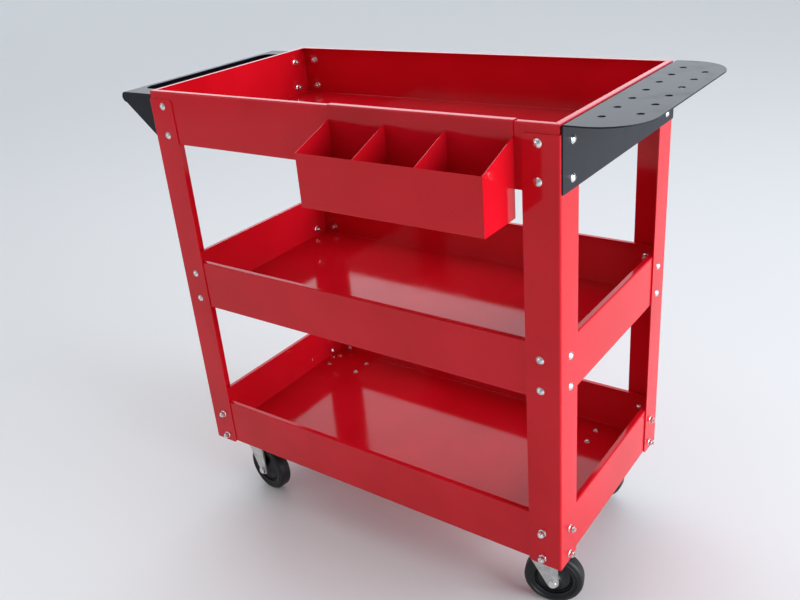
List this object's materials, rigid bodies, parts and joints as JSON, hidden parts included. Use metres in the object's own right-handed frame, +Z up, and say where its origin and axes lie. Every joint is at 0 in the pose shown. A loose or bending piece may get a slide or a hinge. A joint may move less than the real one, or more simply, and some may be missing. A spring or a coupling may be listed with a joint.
{
  "type": "rolling utility cart",
  "caption": "Steel service cart with stacked open trays on corner angle posts, a push handle, a drilled tool shelf, a hook-on divided side bin and swivel casters.",
  "frame": {"origin": "on the floor, under the middle of the whole outline seen from above", "axes": "+X along the cart towards the drilled tool shelf, +Y across the cart away from the side bin, +Z up"},
  "size_m": [0.941, 0.4896, 0.8276],
  "materials": {
    "red_enamel": "glossy baked enamel",
    "black_powder_coat": "semi-gloss powder coat",
    "bright_zinc": "bright zinc plate",
    "satin_zinc": "satin zinc plate",
    "wheel_plastic": "moulded black plastic",
    "tyre_rubber": "smooth hard rubber"
  },
  "bodies": {
    "cart": {"post_front_left": "red_enamel", "post_front_right": "red_enamel", "post_back_left": "red_enamel", "post_back_right": "red_enamel", "tray_top": "red_enamel", "tray_middle": "red_enamel", "tray_bottom": "red_enamel", "handle_push": "black_powder_coat", "handle_tool_rack": "black_powder_coat", "top_tray_bolts": "bright_zinc", "middle_tray_bolts": "bright_zinc", "bottom_tray_bolts": "bright_zinc", "caster_mount_bolts": "bright_zinc", "top_tray_nuts": "bright_zinc", "middle_tray_nuts": "bright_zinc", "bottom_tray_nuts": "bright_zinc", "caster_mount_nuts": "bright_zinc", "caster_plate_fl": "satin_zinc", "caster_race_fl": "satin_zinc", "caster_kingpin_fl": "satin_zinc", "caster_plate_fr": "satin_zinc", "caster_race_fr": "satin_zinc", "caster_kingpin_fr": "satin_zinc", "caster_plate_bl": "satin_zinc", "caster_race_bl": "satin_zinc", "caster_kingpin_bl": "satin_zinc", "caster_plate_br": "satin_zinc", "caster_race_br": "satin_zinc", "caster_kingpin_br": "satin_zinc"},
    "bin": {"bin_shell": "red_enamel", "bin_divider_left": "red_enamel", "bin_divider_right": "red_enamel"},
    "swivel_fl": {"caster_fork_fl": "satin_zinc", "caster_axle_fl": "bright_zinc", "caster_axle_nut_fl": "bright_zinc", "caster_sleeve_fl": "satin_zinc"},
    "wheel_fl": {"wheel_core_fl": "wheel_plastic", "wheel_tyre_fl": "tyre_rubber"},
    "swivel_fr": {"caster_fork_fr": "satin_zinc", "caster_axle_fr": "bright_zinc", "caster_axle_nut_fr": "bright_zinc", "caster_sleeve_fr": "satin_zinc"},
    "wheel_fr": {"wheel_core_fr": "wheel_plastic", "wheel_tyre_fr": "tyre_rubber"},
    "swivel_bl": {"caster_fork_bl": "satin_zinc", "caster_axle_bl": "bright_zinc", "caster_axle_nut_bl": "bright_zinc", "caster_sleeve_bl": "satin_zinc"},
    "wheel_bl": {"wheel_core_bl": "wheel_plastic", "wheel_tyre_bl": "tyre_rubber"},
    "swivel_br": {"caster_fork_br": "satin_zinc", "caster_axle_br": "bright_zinc", "caster_axle_nut_br": "bright_zinc", "caster_sleeve_br": "satin_zinc"},
    "wheel_br": {"wheel_core_br": "wheel_plastic", "wheel_tyre_br": "tyre_rubber"}
  },
  "joints": [
    {"name": "swivel_fl", "type": "hinge", "parent": "cart", "child": "swivel_fl", "pos_m": [-0.3225, -0.1134, 0.115], "axis": [0, 0, 1], "continuous": true},
    {"name": "roll_fl", "type": "hinge", "parent": "swivel_fl", "child": "wheel_fl", "pos_m": [-0.29873, -0.11674, 0.049], "axis": [0.1392, 0.9903, 0], "continuous": true},
    {"name": "swivel_fr", "type": "hinge", "parent": "cart", "child": "swivel_fr", "pos_m": [0.3115, -0.1134, 0.115], "axis": [0, 0, 1], "continuous": true},
    {"name": "roll_fr", "type": "hinge", "parent": "swivel_fr", "child": "wheel_fr", "pos_m": [0.33433, -0.10598, 0.049], "axis": [-0.309, 0.9511, 0], "continuous": true},
    {"name": "swivel_bl", "type": "hinge", "parent": "cart", "child": "swivel_bl", "pos_m": [-0.3225, 0.1826, 0.115], "axis": [0, 0, 1], "continuous": true},
    {"name": "roll_bl", "type": "hinge", "parent": "swivel_bl", "child": "wheel_bl", "pos_m": [-0.2985, 0.1826, 0.049], "axis": [0, 1, 0], "continuous": true},
    {"name": "swivel_br", "type": "hinge", "parent": "cart", "child": "swivel_br", "pos_m": [0.3115, 0.1826, 0.115], "axis": [0, 0, 1], "continuous": true},
    {"name": "roll_br", "type": "hinge", "parent": "swivel_br", "child": "wheel_br", "pos_m": [0.2875, 0.1826, 0.049], "axis": [0, -1, 0], "continuous": true},
    {"name": "bin_lift", "type": "slide", "parent": "cart", "child": "bin", "axis": [0, 0, 1], "range_m": [0, 0.2]}
  ]
}
